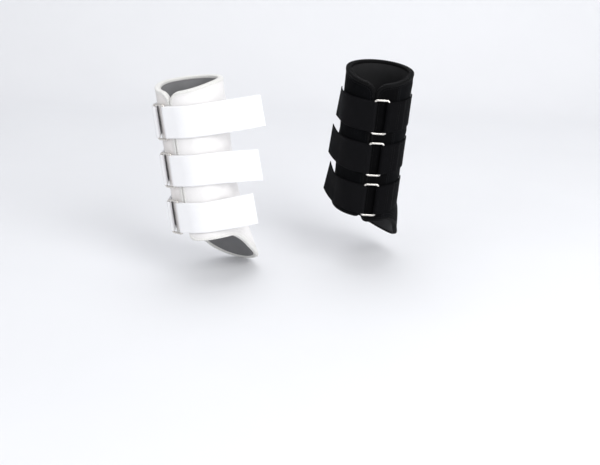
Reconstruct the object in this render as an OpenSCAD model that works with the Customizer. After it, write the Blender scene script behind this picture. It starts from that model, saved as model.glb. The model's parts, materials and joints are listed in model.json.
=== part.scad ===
// A pair of wrap-round leg boots for a horse: a white left boot and a black right boot.
// Each boot's own frame: x straight ahead, y to the outer side of the leg, z up the leg,
// with its origin on the leg's axis level with the middle ring.

/* [Shell] */
// Radius of the leg that the boots close on
leg_r = 35; // [32:0.5:38]
// Thickness of the padded wall, lining included
wall_t = 8; // [7:0.5:10]
// Thickness of the lining
lining_t = 1; // [0.6:0.1:1.2]
// Thickness of the outer cover
cover_t = 1.6; // [1:0.1:2]
// Thickness of the strike plate on the inner side of the leg
plate_t = 2; // [1.5:0.1:2.5]
// Width of the binding round the shell's edge
binding_w = 3; // [2:0.5:5]
// Width of the slit where the shell's two edges meet
slit_w = 1.6; // [1:0.1:3]
// Radius of the shell's lower corners at the slit
corner_r = 8; // [4:0.5:10]
// Radius of the shell's upper corners, where the slit opens into a V
top_corner_r = 14; // [8:0.5:14]
// How far the guard tail stands off the leg at its tip
tail_flare = 14; // [0:1:16]
// How far the shell bells out under the bottom strap, towards the front of the tail
bell = 10; // [0:1:12]

/* [Straps and rings] */
// Width of the webbing
strap_w = 40; // [30:1:50]
// Thickness of the webbing
strap_t = 1.4; // [1:0.1:1.4]
// Diameter of the ring wire
wire_d = 3; // [2.5:0.1:3.2]
// Distance between a ring's two long bars
ring_reach = 17; // [15:1:20]
// Angle round the leg that a strap's sewn base covers
base_span = 34; // [28:1:40]
// Angle round the leg, from straight ahead, at which the ring tabs end on the inner side
tab_end = -40; // [-40:1:0]

/* [White boot] */
// Distance from one strap to the next
white_pitch = 62; // [56:1:72]
// Angle of the rings from straight ahead towards the outer side
white_ring_angle = 75; // [60:1:80]
// Angle by which the rings' front bars are lifted off the shell
white_ring_lift = 13; // [0:1:20]
// Angle of the slit
white_slit_angle = 96; // [90:1:98]
// Depth of the lower edge under the middle ring
white_bottom = 93; // [90:0.5:110]
// Height of the upper edge beside the slit
white_top = 98; // [94:1:110]
// How much higher the upper edge stands away from the slit
white_top_rise = 7; // [0:1:12]
// Depth of the guard tail under the lower edge
white_tail = 61; // [20:1:70]
// Angle at which the upper, middle and lower strap ends leave the shell
white_leave = [140, 140, 140]; // [132:1:150]
// Straight length of the upper, middle and lower strap ends
white_ends = [82, 71, 58]; // [8:1:90]
// How much higher the lower edge ends on the tab side of the slit
white_low_rise = 11; // [0:1:14]
// How far the lining reaches under and over the middle ring
white_lining = [80, 84]; // [60:1:84]
// Lean of the leg, top towards straight ahead
white_lean = 9; // [0:0.5:12]
// Direction that the boot faces, from +X
white_heading = 143.5; // [0:0.5:360]

/* [Black boot] */
// Distance from one strap to the next
black_pitch = 57; // [56:1:72]
// Angle of the rings from straight ahead towards the outer side
black_ring_angle = 45; // [40:1:50]
// Angle by which the rings' front bars are lifted off the shell
black_ring_lift = 0; // [0:1:20]
// Angle of the slit
black_slit_angle = 57; // [54:1:58]
// Depth of the lower edge under the middle ring
black_bottom = 84; // [84:0.5:110]
// Height of the upper edge beside the slit
black_top = 97; // [90:1:110]
// How much higher the upper edge stands away from the slit
black_top_rise = 8; // [0:1:12]
// Depth of the guard tail under the lower edge
black_tail = 60; // [20:1:70]
// Angle at which the upper, middle and lower strap ends leave the shell
black_leave = [130, 115, 115]; // [104:1:140]
// Straight length of the upper, middle and lower strap ends
black_ends = [11, 25, 25]; // [8:1:90]
// How much higher the lower edge ends on the tab side of the slit, or lower under 0
black_low_rise = -6; // [-8:1:10]
// How far the lining reaches under and over the middle ring
black_lining = [76, 80]; // [60:1:80]
// Lean of the leg, top towards straight ahead
black_lean = 4.5; // [0:0.5:12]
// Direction that the boot faces, from +X
black_heading = 319; // [0:0.5:360]
// Place of the black boot's origin from the white boot's
black_place = [222, 36, 15]; // [-300:1:300]

/* [Hidden] */
$fn = 48;

// The two boots by number, for the modules below
WHITE = 0;
BLACK = 1;
pitch = [white_pitch, black_pitch];
ring_angle = [white_ring_angle, black_ring_angle];
ring_lift = [white_ring_lift, black_ring_lift];
slit_angle = [white_slit_angle, black_slit_angle];
bottom = [white_bottom, black_bottom];
top_edge = [white_top, black_top];
top_rise = [white_top_rise, black_top_rise];
tail = [white_tail, black_tail];
low_rise = [white_low_rise, black_low_rise];
leave = [white_leave, black_leave];
ends = [white_ends, black_ends];
lining_reach = [white_lining, black_lining];

// Radii of the shell
shell_r = leg_r + wall_t;
foam_r = leg_r + lining_t + 0.15;
// Angles round the leg between the rear, inner and front foam pieces, and the elastic panel's width
rear_seam = 208;
front_seam = 332;
elastic_span = 38;
// The guard tail: its middle, half its span and how sharply it narrows
tail_middle = 270;
tail_half = 98;
tail_power = 1.6;
// The flare: where it starts, how far down it reaches, its middle, half its span and its curve
flare_start = 10;
flare_reach = 130;
flare_middle = 235;
flare_half = 83;
flare_power = 1.5;
// The bell under the bottom strap: how far down it reaches, its middle, half its span and its curve
bell_reach = 66;
bell_middle = 290;
bell_half = 80;
bell_power = 0.6;
// The lower edge's rise on the tab side: how far from the slit it starts and over what angle it comes
low_rise_from = [60, 93];
low_rise_span = 46;
// Grid of the shell's faces, the span of its closer columns, and the gap between the layers and the binding
column_step = 10;
row_count = 9;
low_rows = 3;
knee_clear = 2;
slit_span = 12;
sewn_gap = 0.4;

// Webbing round a ring bar
wire_r = wire_d / 2;
bar_gap = 0.08;
web_step = 3;
eye_in = wire_r + bar_gap;
eye_fold = 0.1;
eye_out = eye_in + strap_t + 2 * eye_fold;
eye_clear = 0.32;
web_r = shell_r + 0.1;
tail_r = shell_r + 2.4;
bar_r = shell_r + eye_out + eye_clear;
// Rings: half the distance between the end bars, the corner radius and the straight half of a long bar
ring_half = strap_w / 2 + 0.5 + wire_r;
ring_corner = 2.6;
bar_half = ring_half - ring_corner;
eye_half = bar_half - 0.2;
// Bar A is the strap's bar and bar B the tab's, on a line across the ring
bar_a_x = sqrt(bar_r * bar_r - pow(ring_reach / 2, 2));
bar_a_angle = atan(ring_reach / 2 / bar_a_x);
// Hook and loop patches
patch_inset = 1;
loop_t = 0.8;
hook_t = 1.15;
hook_gap = 0.05;
hook_short = 4;

function clamp01(v) = min(1, max(0, v));
function smooth(v) = v * v * (3 - 2 * v);
// Distance in mm along the shell from an angle to the nearer edge of the slit
function from_slit(b, a) = min(a - slit_lo(b), slit_hi(b) - a) * PI / 180 * shell_r;
function slit_lo(b) = slit_angle[b] + slit_w / 2 / shell_r * 180 / PI;
function slit_hi(b) = slit_angle[b] + 360 - slit_w / 2 / shell_r * 180 / PI;
function corner_drop(d, r) = d >= r ? 0 : r - sqrt(pow(r, 2) - pow(r - d, 2));
function rise(b, a) = smooth(clamp01(min(a - slit_lo(b), slit_hi(b) - a) / 100));
function z_top(b, a) = top_edge[b] + top_rise[b] * rise(b, a) - corner_drop(from_slit(b, a), top_corner_r);
function tail_depth(b, a) =
    abs(a - tail_middle) >= tail_half ? 0
    : tail[b] * pow(cos((a - tail_middle) * 90 / tail_half), tail_power);
function rise_low(b, a) = low_rise[b] * smooth(clamp01((a - slit_hi(b) + low_rise_from[b]) / low_rise_span));
function z_low(b, a) =
    rise_low(b, a) - bottom[b] - tail_depth(b, a) + corner_drop(from_slit(b, a), corner_r);
// How far the shell stands off its cylinder at an angle and a height
function share(a, middle, half) = abs(a - middle) >= half ? 0 : cos((a - middle) * 90 / half);
function flare_at(z) = tail_flare * pow(max(0, -z - flare_start) / flare_reach, flare_power);
function bell_at(b, z) = bell * pow(max(0, -z - pitch[b] - strap_w / 2) / bell_reach, bell_power);
function stand_off(b, a, z) =
    share(a, flare_middle, flare_half) * flare_at(z) + share(a, bell_middle, bell_half) * bell_at(b, z);
// Radii of the layers: 0 inside the foam, 1 inside the plate, 2 inside the cover, 3 outside the cover
function level(b, k, a, z) =
    k == 0 ? foam_r + max(0, stand_off(b, a, z) - stand_off(b, a, -lining_reach[b][0]))
    : shell_r + stand_off(b, a, z) - (k == 3 ? 0 : k == 2 ? cover_t : cover_t + plate_t);

// Columns of the grid from one angle to another, closer together beside the slit
binding_angle = binding_w / shell_r * 180 / PI;
layer_inset = (binding_w + sewn_gap) / shell_r * 180 / PI;
function even_columns(a, b) = let(n = ceil((b - a) / column_step)) [for (i = [0:n]) a + (b - a) * i / n];
function first_columns(b) = [for (d = [0, 1.3, 2.6, layer_inset, 7.5, slit_span]) slit_lo(b) + d];
function last_columns(b) = [for (d = [slit_span, 7.5, layer_inset, 2.6, 1.3, 0]) slit_hi(b) - d];
function joined(p, q) = concat(p, [for (i = [1:len(q) - 1]) q[i]]);
function rear_columns(b) = joined(first_columns(b), even_columns(slit_lo(b) + slit_span, rear_seam));
function medial_columns() = even_columns(rear_seam, front_seam);
function elastic_from(b) = slit_angle[b] + 360 - elastic_span;
function mid_columns(b) = even_columns(front_seam, elastic_from(b));
function elastic_columns(b) = joined(even_columns(elastic_from(b), slit_hi(b) - slit_span), last_columns(b));
function all_columns(b) =
    joined(joined(rear_columns(b), medial_columns()), joined(mid_columns(b), elastic_columns(b)));
function within(list, lo, hi) = [for (v = list) if (v > lo - 0.001 && v < hi + 0.001) v];
function inner_lo(b) = slit_lo(b) + layer_inset;
function inner_hi(b) = slit_hi(b) - layer_inset;
// Angle of the binding's inner seam at a column: moved in beside the slit, and the column's own elsewhere
function moved_in(d) = d >= slit_span ? d : binding_angle + d * (1 - binding_angle / slit_span);
function seam_angle(b, a) =
    a - slit_lo(b) < slit_hi(b) - a ? slit_lo(b) + moved_in(a - slit_lo(b))
    : slit_hi(b) - moved_in(slit_hi(b) - a);

// Heights of the grid's rows at an angle: a few under the bottom strap's lower edge, and the rest over it
function knee(b, low) = max(-pitch[b] - strap_w / 2, low + knee_clear);
function row_z(j, low, middle, high) =
    j <= low_rows ? low + (middle - low) * j / low_rows
    : middle + (high - middle) * (j - low_rows) / (row_count - low_rows);

// A sheet of the shell between two layer radii, as one closed solid on the grid inside the binding
module panel(b, angles, k_in, k_out) {
    edge = binding_w + sewn_gap;
    rows = row_count;
    nc = len(angles);
    nr = rows + 1;
    points = [
        for (k = [k_in, k_out])
            for (i = [0:nc - 1])
                for (j = [0:rows])
                    let(a = angles[i], low = z_low(b, a) + edge, high = z_top(b, a) - edge)
                    let(z = row_z(j, low, knee(b, low), high), r = level(b, k, a, z))
                        [r * cos(a), r * sin(a), z]
    ];
    far = nc * nr;
    faces = concat(
        [for (i = [0:nc - 2]) for (j = [0:rows - 1]) let(p = far + i * nr + j) each
            [[p, p + 1, p + nr + 1], [p, p + nr + 1, p + nr]]],
        [for (i = [0:nc - 2]) for (j = [0:rows - 1]) let(p = i * nr + j) each
            [[p, p + nr + 1, p + 1], [p, p + nr, p + nr + 1]]],
        [for (i = [0:nc - 2]) let(p = i * nr) each
            [[p, far + p, p + nr], [far + p, far + p + nr, p + nr]]],
        [for (i = [0:nc - 2]) let(p = i * nr + rows) each
            [[p, p + nr, far + p + nr], [p, far + p + nr, far + p]]],
        [for (j = [0:rows - 1]) each [[j, j + 1, far + j + 1], [j, far + j + 1, far + j]]],
        [for (j = [0:rows - 1]) let(p = (nc - 1) * nr + j) each
            [[p, far + p + 1, p + 1], [p, far + p, far + p + 1]]]
    );
    polyhedron(points, faces);
}

// A tube wall round the leg from one angle to another
module band(r, t, a0, a1, h) {
    rotate([0, 0, a0])
        rotate_extrude(angle = a1 - a0)
            translate([r, -h / 2])
                square([t, h]);
}

function arc_xy(r, a0, a1) =
    let(n = ceil((a1 - a0) / web_step))
        [for (i = [0:n]) let(a = a0 + (a1 - a0) * i / n) [r * cos(a), r * sin(a)]];
function tangent_xy(r, a, d) = [r * cos(a) - d * sin(a), r * sin(a) + d * cos(a)];
function web_xy(r, a0, a1, before, after) =
    concat(before > 0 ? [tangent_xy(r, a0, -before)] : [], arc_xy(r, a0, a1),
        after > 0 ? [tangent_xy(r, a1, after)] : []);
function reversed(list) = [for (i = [len(list) - 1:-1:0]) list[i]];

// Webbing bent round the leg from one angle to another, with straight runs before and after
module webbing(r, t, a0, a1, before, after, h) {
    linear_extrude(height = h, center = true)
        polygon(concat(web_xy(r, a0, a1, before, after), reversed(web_xy(r + t, a0, a1, before, after))));
}

module place(b) {
    translate(b == WHITE ? [0, 0, 0] : black_place)
        rotate([0, 0, b == WHITE ? white_heading : black_heading])
            rotate([0, b == WHITE ? white_lean : black_lean, 0])
                mirror([0, b == WHITE ? 0 : 1, 0])
                    children();
}

module at_closure(b, n) {
    translate([0, 0, (2 - n) * pitch[b]])
        children();
}

// Places its children at a ring: bar A at the origin and bar B at -y
module at_ring(b, n) {
    at_closure(b, n)
        rotate([0, 0, ring_angle[b]])
            translate([bar_a_x, ring_reach / 2, 0])
                rotate([0, 0, ring_lift[b]])
                    children();
}

// Bar B's place round the leg
function bar_b(b) =
    [bar_a_x + ring_reach * sin(ring_lift[b]), ring_reach / 2 - ring_reach * cos(ring_lift[b])];
function bar_b_r(b) = norm(bar_b(b));
function bar_b_angle(b) = ring_angle[b] + atan(bar_b(b)[1] / bar_b(b)[0]);
function strap_from(b) = ring_angle[b] + bar_a_angle;
function base_from(b) = strap_from(b) + 4.2;
function base_to(b) = base_from(b) + base_span;

module cover(b) {
    panel(b, within(all_columns(b), inner_lo(b), elastic_from(b)), 2, 3);
}

module elastic_panel(b) {
    panel(b, within(all_columns(b), elastic_from(b), inner_hi(b)), 2, 3);
}

module lining(b) {
    translate([0, 0, (lining_reach[b][1] - lining_reach[b][0]) / 2])
        band(leg_r, lining_t, inner_lo(b), inner_hi(b), lining_reach[b][0] + lining_reach[b][1]);
}

module rear_foam(b) {
    panel(b, within(all_columns(b), inner_lo(b), rear_seam), 0, 2);
}

module medial_foam(b) {
    panel(b, medial_columns(), 0, 1);
}

module front_foam(b) {
    panel(b, within(all_columns(b), front_seam, inner_hi(b)), 0, 2);
}

module strike_plate(b) {
    panel(b, medial_columns(), 1, 2);
}

// The binding: a strip of one width swept round the whole edge as one closed solid
module edge_binding(b) {
    angles = all_columns(b);
    inner = [for (a = angles) seam_angle(b, a)];
    n = len(angles);
    rim = concat([for (a = angles) [a, z_top(b, a)]],
        [for (i = [n - 1:-1:0]) [angles[i], z_low(b, angles[i])]]);
    seam = concat([for (a = inner) [a, z_top(b, a) - binding_w]],
        [for (i = [n - 1:-1:0]) [inner[i], z_low(b, inner[i]) + binding_w]]);
    points = [
        for (i = [0:2 * n - 1])
            for (k = [[rim[i], 3], [rim[i], 0], [seam[i], 0], [seam[i], 3]])
                let(a = k[0][0], z = k[0][1], r = level(b, k[1], a, z)) [r * cos(a), r * sin(a), z]
    ];
    faces = [
        for (i = [0:2 * n - 1])
            for (k = [0:3])
                let(p = 4 * i, q = 4 * ((i + 1) % (2 * n)), m = (k + 1) % 4)
                    each [[p + k, q + m, q + k], [p + k, p + m, q + m]]
    ];
    polyhedron(points, faces);
}

module loop_patches(b) {
    for (n = [1:3])
        at_closure(b, n)
            webbing(shell_r + 0.07, loop_t, base_to(b) + 2, leave[b][n - 1], 0, 0, strap_w - 2 * patch_inset);
}

module strap_base(b, n) {
    at_closure(b, n)
        webbing(web_r, strap_t, base_from(b), base_to(b), 0, 0, strap_w);
}

// A bar's eye: a tube of webbing joined to its children, with a running fit on the wire
module eye(r, a) {
    difference() {
        union() {
            translate([r * cos(a), r * sin(a), 0])
                cylinder(r = eye_out, h = 2 * eye_half, center = true);
            children();
        }
        translate([r * cos(a), r * sin(a), 0])
            cylinder(r = eye_in, h = strap_w + 2, center = true);
    }
}

// The ring tab: an eye round bar B, a straight run down to the shell and a band round the front
module tab(b, n) {
    turn = acos((web_r + eye_out - eye_fold) / bar_b_r(b));
    run = bar_b_r(b) * sin(turn);
    at_closure(b, n)
        eye(bar_b_r(b), bar_b_angle(b))
            webbing(web_r, strap_t, tab_end, bar_b_angle(b) - turn, 0, run, strap_w);
}

// The wire ring: two long bars, two end bars and four rounded corners
module ring(b, n) {
    at_ring(b, n) {
        for (y = [0, -ring_reach])
            translate([0, y, 0])
                cylinder(r = wire_r, h = 2 * bar_half, center = true);
        for (z = [-ring_half, ring_half])
            translate([0, -ring_corner, z])
                rotate([90, 0, 0])
                    cylinder(r = wire_r, h = ring_reach - 2 * ring_corner);
        for (s = [0, 1], u = [0, 1])
            translate([0, -ring_reach / 2, 0])
                mirror([0, s, 0])
                    mirror([0, 0, u])
                        translate([0, ring_reach / 2 - ring_corner, bar_half])
                            rotate([90, 0, 90])
                                rotate_extrude(angle = 90)
                                    translate([ring_corner, 0])
                                        circle(r = wire_r);
    }
}

// The free strap: an eye round bar A, a straight run onto the shell, a band and a straight end
module strap(b, n) {
    turn = acos((tail_r - eye_in - eye_fold) / bar_r);
    run = bar_r * sin(turn);
    from = strap_from(b);
    at_closure(b, n)
        eye(bar_r, from)
            webbing(tail_r, strap_t, from + turn, leave[b][n - 1], run, ends[b][n - 1], strap_w);
}

// The hook side of the fastening, on the inner face of the strap's free end
module hook_patch(b, n) {
    length = ends[b][n - 1] - hook_short;
    at_closure(b, n)
        webbing(tail_r - hook_t - hook_gap, hook_t, base_to(b) + 2.5, leave[b][n - 1], 0, length,
            strap_w - 2 * patch_inset);
}

module white_cover() { color("white") place(WHITE) cover(WHITE); }
module white_elastic_panel() { color("gainsboro") place(WHITE) elastic_panel(WHITE); }
module white_lining() { color("dimgray") place(WHITE) lining(WHITE); }
module white_rear_foam() { color("lightgray") place(WHITE) rear_foam(WHITE); }
module white_medial_foam() { color("lightgray") place(WHITE) medial_foam(WHITE); }
module white_front_foam() { color("lightgray") place(WHITE) front_foam(WHITE); }
module white_strike_plate() { color("slategray") place(WHITE) strike_plate(WHITE); }
module white_edge_binding() { color("whitesmoke") place(WHITE) edge_binding(WHITE); }
module white_loop_patches() { color("snow") place(WHITE) loop_patches(WHITE); }
module white_tab(n) { color("ghostwhite") place(WHITE) tab(WHITE, n); }
module white_ring(n) { color("silver") place(WHITE) ring(WHITE, n); }
module white_strap_base(n) { color("ghostwhite") place(WHITE) strap_base(WHITE, n); }
module white_strap(n) { color("ghostwhite") place(WHITE) strap(WHITE, n); }
module white_hook(n) { color("whitesmoke") place(WHITE) hook_patch(WHITE, n); }
module black_cover() { color("black") place(BLACK) cover(BLACK); }
module black_elastic_panel() { color([0.1, 0.1, 0.1]) place(BLACK) elastic_panel(BLACK); }
module black_lining() { color("dimgray") place(BLACK) lining(BLACK); }
module black_rear_foam() { color([0.2, 0.2, 0.2]) place(BLACK) rear_foam(BLACK); }
module black_medial_foam() { color([0.2, 0.2, 0.2]) place(BLACK) medial_foam(BLACK); }
module black_front_foam() { color([0.2, 0.2, 0.2]) place(BLACK) front_foam(BLACK); }
module black_strike_plate() { color("slategray") place(BLACK) strike_plate(BLACK); }
module black_edge_binding() { color([0.08, 0.08, 0.08]) place(BLACK) edge_binding(BLACK); }
module black_loop_patches() { color([0.12, 0.12, 0.12]) place(BLACK) loop_patches(BLACK); }
module black_tab(n) { color([0.12, 0.12, 0.12]) place(BLACK) tab(BLACK, n); }
module black_ring(n) { color("silver") place(BLACK) ring(BLACK, n); }
module black_strap_base(n) { color([0.12, 0.12, 0.12]) place(BLACK) strap_base(BLACK, n); }
module black_strap(n) { color([0.14, 0.14, 0.14]) place(BLACK) strap(BLACK, n); }
module black_hook(n) { color([0.1, 0.1, 0.1]) place(BLACK) hook_patch(BLACK, n); }

white_cover();
white_elastic_panel();
white_lining();
white_rear_foam();
white_medial_foam();
white_front_foam();
white_strike_plate();
white_edge_binding();
white_loop_patches();
white_tab(1);  // white_tab_1
white_tab(2);  // white_tab_2
white_tab(3);  // white_tab_3
white_ring(1);  // white_ring_1
white_ring(2);  // white_ring_2
white_ring(3);  // white_ring_3
white_strap_base(1);  // white_strap_base_1
white_strap_base(2);  // white_strap_base_2
white_strap_base(3);  // white_strap_base_3
white_strap(1);  // white_strap_1
white_strap(2);  // white_strap_2
white_strap(3);  // white_strap_3
white_hook(1);  // white_hook_1
white_hook(2);  // white_hook_2
white_hook(3);  // white_hook_3
black_cover();
black_elastic_panel();
black_lining();
black_rear_foam();
black_medial_foam();
black_front_foam();
black_strike_plate();
black_edge_binding();
black_loop_patches();
black_tab(1);  // black_tab_1
black_tab(2);  // black_tab_2
black_tab(3);  // black_tab_3
black_ring(1);  // black_ring_1
black_ring(2);  // black_ring_2
black_ring(3);  // black_ring_3
black_strap_base(1);  // black_strap_base_1
black_strap_base(2);  // black_strap_base_2
black_strap_base(3);  // black_strap_base_3
black_strap(1);  // black_strap_1
black_strap(2);  // black_strap_2
black_strap(3);  // black_strap_3
black_hook(1);  // black_hook_1
black_hook(2);  // black_hook_2
black_hook(3);  // black_hook_3
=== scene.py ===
"""Two horse leg boots, white and black: cloth, webbing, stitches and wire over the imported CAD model."""
import json
import math

import bpy
import numpy as np
from mathutils import Matrix, Vector


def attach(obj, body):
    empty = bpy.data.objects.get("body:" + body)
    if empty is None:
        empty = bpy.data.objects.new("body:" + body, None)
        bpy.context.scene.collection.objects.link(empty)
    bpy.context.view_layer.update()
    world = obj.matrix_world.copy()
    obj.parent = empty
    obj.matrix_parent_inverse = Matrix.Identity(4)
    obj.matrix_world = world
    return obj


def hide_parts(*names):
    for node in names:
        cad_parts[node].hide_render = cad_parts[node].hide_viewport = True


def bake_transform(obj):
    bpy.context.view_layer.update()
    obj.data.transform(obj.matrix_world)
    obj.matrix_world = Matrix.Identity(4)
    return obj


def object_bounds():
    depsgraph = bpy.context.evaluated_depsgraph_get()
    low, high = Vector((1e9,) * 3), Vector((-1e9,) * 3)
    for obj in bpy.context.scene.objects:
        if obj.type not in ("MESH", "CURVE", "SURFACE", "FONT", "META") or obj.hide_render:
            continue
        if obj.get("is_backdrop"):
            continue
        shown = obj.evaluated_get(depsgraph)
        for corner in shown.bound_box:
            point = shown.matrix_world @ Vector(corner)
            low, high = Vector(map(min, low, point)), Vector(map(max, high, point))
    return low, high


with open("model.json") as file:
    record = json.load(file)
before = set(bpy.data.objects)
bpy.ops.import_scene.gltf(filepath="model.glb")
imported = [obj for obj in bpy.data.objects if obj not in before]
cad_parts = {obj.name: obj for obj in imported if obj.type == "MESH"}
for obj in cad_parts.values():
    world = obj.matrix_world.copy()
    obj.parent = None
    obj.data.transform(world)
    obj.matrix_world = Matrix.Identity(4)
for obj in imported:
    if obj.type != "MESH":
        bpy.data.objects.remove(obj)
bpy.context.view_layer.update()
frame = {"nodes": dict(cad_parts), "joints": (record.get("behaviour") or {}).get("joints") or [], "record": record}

MM = 0.001
rng = np.random.default_rng(7)

# ---------------------------------------------------------------- the shell, in millimetres and degrees
SHELL_R = 43.0
LEG_R = 35.0
LINING_T = 1.0
COVER_T = 1.6
PLATE_T = 2.0
PLATE_FROM, PLATE_TO = 208.0, 332.0
PLATE_INSET = 3.4
LAYER_GAP = 0.1
SLIT_W = 1.6
# How far the layers stop inside the shell's edge, under the binding
EDGE_INSET = 1.6
# Width of the elastic panel round the leg, and the height and pitch of its ribs
ELASTIC_SPAN = 38.0
RIB_H, RIB_PITCH, RIB_POWER = 0.42, 1.7, 0.8
RIB_SINK = 0.3
# Corners at the slit, and how gently the two edges rise beside it
LOW_CORNER_R, TOP_CORNER_R = 8.0, 14.0
TOP_RISE_SPAN, LOW_RISE_SPAN = 100.0, 46.0
# The guard tail: its middle, its half width round the leg, and how sharply it narrows
TAIL_MIDDLE, TAIL_HALF, TAIL_POWER = 270.0, 98.0, 1.6
# How far the tail stands off the leg, from which depth, over which depth, and how that grows
TAIL_FLARE, FLARE_START, FLARE_REACH, FLARE_POWER = 14.0, 10.0, 130.0, 1.5
FLARE_MIDDLE, FLARE_HALF = 235.0, 83.0
# How far the shell bells out under the bottom strap, over which depth, and how that grows
BELL, BELL_REACH, BELL_POWER = 10.0, 66.0, 0.6
BELL_MIDDLE, BELL_HALF = 290.0, 80.0
# The wall's thickness in the tail, and how much thinner it is at the hems
TAIL_T, TAIL_TAPER = 6.8, 30.0
HEM_THIN, HEM_TAPER = 1.6, 14.0
# The shell's grids: bands of close rows at the lower and upper edges, and the rows in each stretch
LOW_BAND, TOP_BAND = 12.0, 6.0
FINE_ROWS, COARSE_ROWS = 12, 44

# ---------------------------------------------------------------- the cover's swell
CREASE = 0.35
SWELL_CAP = 2.4
CLOTH_FRAMES = 20
CLOTH_SETTINGS = {
    "quality": 6,
    "mass": 0.2,
    "tension_stiffness": 12,
    "compression_stiffness": 12,
    "shear_stiffness": 6,
    "bending_stiffness": 0.6,
    "use_pressure": True,
    "uniform_pressure_force": 4.0,
    "shrink_min": -0.012,
    "vertex_group_mass": "held",
}
# Where the cover is held down: beside its hems, under the webbing and beside the slit, each with its ease
HEM_HOLD, HEM_EASE = 6.0, 6.0
WEB_EASE = 5.0
LEAVE_PAST, LEAVE_EASE = 14.0, 8.0
TAB_EASE = 4.0
SLIT_HOLD, SLIT_EASE = 5.0, 6.0

# ---------------------------------------------------------------- the binding
BINDING_SIDES = 18
BINDING_MIDDLE, BINDING_HALF = 1.5, 2.1
BINDING_PUFF, BINDING_LIFT = 0.2, 0.1
BINDING_CLEAR, BINDING_OVER = 0.35, 0.6
RIDGE_H, RIDGE_PITCH, RIDGE_SLANT, RIDGE_OUT = 0.38, 3.3, 0.8, 0.8
# Distance of thread pattern for each radian round the binding
THREAD_TURN = 3.0

# ---------------------------------------------------------------- rings and webbing
STRAP_W = 40.0
STRAP_T = 1.3
WIRE_R = 1.5
RING_REACH = 17.0
BAR_R = SHELL_R + 3.5
BAR_A_ANGLE = math.degrees(math.atan2(RING_REACH / 2, math.sqrt(BAR_R**2 - (RING_REACH / 2) ** 2)))
# Radii of the webbing's middle: folded round a bar, lying on the shell, and lying over the sewn base
FOLD_R = WIRE_R + 0.12 + STRAP_T / 2
WEB_R = SHELL_R + 0.45 + STRAP_T / 2
TAIL_R = SHELL_R + 3.1
FOLD_POINTS, FOLD_JOIN = 22, 3
# The sewn base: its gap from the ring bar and its span
BASE_GAP, BASE_SPAN = 4.2, 34.0
ANCHOR_TURN = 20.0
BASE_BLEND, FREE_BLEND = 0.25, 0.45
# The tab: where it ends on the inner side, how long it is doubled, and the step up onto its lower end
TAB_END = -40.0
TAB_DOUBLED = 20.0
TAB_GAP = 0.05
TAB_STEP, TAB_RAMP = 2.5, 3.0
HOOK_T, HOOK_NARROW, HOOK_SHORT = 0.9, 2.4, 5.0
HOOK_AFTER_BASE, LOOP_AFTER_BASE = 2.5, 2.0
HOOK_GAP = 0.02
LOOP_HALF, LOOP_PILE, LOOP_FUZZ = 19.0, 0.75, 0.06
LOOP_LIFT, LOOP_SINK = 0.1, 0.4
# A ribbon's section: points across, how they crowd to the selvedges, and the bead beside each selvedge
SECTION_POINTS, SECTION_CROWD = 27, 1.25
BEAD_T, BEAD_AT, BEAD_WIDTH = 0.12, 0.95, 0.03
RIBBON_STEP = 0.8
RIPPLE, RIPPLE_EASE = 0.16, 6.0
# How far each strap's free end bows outwards, in mm, twists, in degrees, and drifts up, in mm
FREE_ENDS = {
    "white": ((1.6, 22.0, 2.0), (1.0, 19.0, -4.6), (0.8, 19.0, 2.0)),
    "black": ((0.4, 5.0, 1.0), (1.2, 4.0, 5.8), (1.2, 9.0, 9.8)),
}

# ---------------------------------------------------------------- stitches
STITCH_PITCH = 3.1
STITCH_LENGTH = 2.3
STITCH_R = 0.3
STITCH_SPREAD = 0.06
STITCH_RINGS, STITCH_SIDES = 5, 6
TAB_STITCH_HALF, TAB_STITCH_POINTS = 17, 12
TAB_CROSS_ROWS = (7.0, 10.0)
EDGE_ROW = 5.0
LOW_ROWS = (9.0, 13.0)
ELASTIC_ROWS = (1.6, 5.6)

# ---------------------------------------------------------------- light and camera
PLAIN_LIGHT, COOL_LIGHT = (1, 1, 1), (0.97, 0.98, 1.0)
# Each lamp: its place (x from the boots' middle, y, z), its size in metres, its power in watts and its colour
LAMPS = {
    "key": ((1.0, -1.15, 1.15), 1.2, 19, PLAIN_LIGHT),
    "fill": ((-1.3, -0.9, 0.9), 1.4, 5, COOL_LIGHT),
    "low": ((1.2, -0.8, 0.1), 1.0, 5, PLAIN_LIGHT),
    "top": ((0.0, 0.2, 1.8), 1.6, 8, PLAIN_LIGHT),
}
WORLD_COLOUR, WORLD_STRENGTH = (0.93, 0.94, 0.96, 1), 0.66
CAMERA_AT = (0.1316, -1.1062, 0.3943)
CAMERA_DOWN, CAMERA_ROLL = 23.93, 1.47
CAMERA_LENS, CAMERA_SENSOR = 54.28, 36.0


def smooth(v):
    """A soft step from 0 to 1."""
    v = np.clip(v, 0, 1)
    return v * v * (3 - 2 * v)


def share(a, middle, half):
    """1 at the middle angle, falling to 0 at half an angle either side."""
    return np.maximum(np.cos(np.clip((a - middle) / half, -1, 1) * math.pi / 2), 0)


def unit(v):
    v = np.asarray(v, float)
    return v / np.linalg.norm(v, axis=-1, keepdims=True)


def waves(u, v, seed):
    """Soft uneven ripples between about -1 and 1, the same on every run."""
    draw = np.random.default_rng(seed)
    total = np.zeros_like(u + v)
    for size in (1.0, 1.0, 0.6, 0.6, 0.35, 0.35):
        turn, shift = draw.uniform(0, math.tau, 2)
        scale = size * 9.0
        total = total + size * np.sin((u * math.cos(turn) + v * math.sin(turn)) / scale + shift)
    return total / 3.9


def round_leg(r, degrees, z):
    """Points in a boot's own frame from radii, angles round the leg and heights."""
    turn = np.radians(degrees)
    return np.stack([r * np.cos(turn), r * np.sin(turn), z], -1)


def travel_along(path):
    """Distance from a path's start to each of its points."""
    return np.concatenate([[0], np.cumsum(np.linalg.norm(np.diff(path, axis=0), axis=1))])


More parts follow.
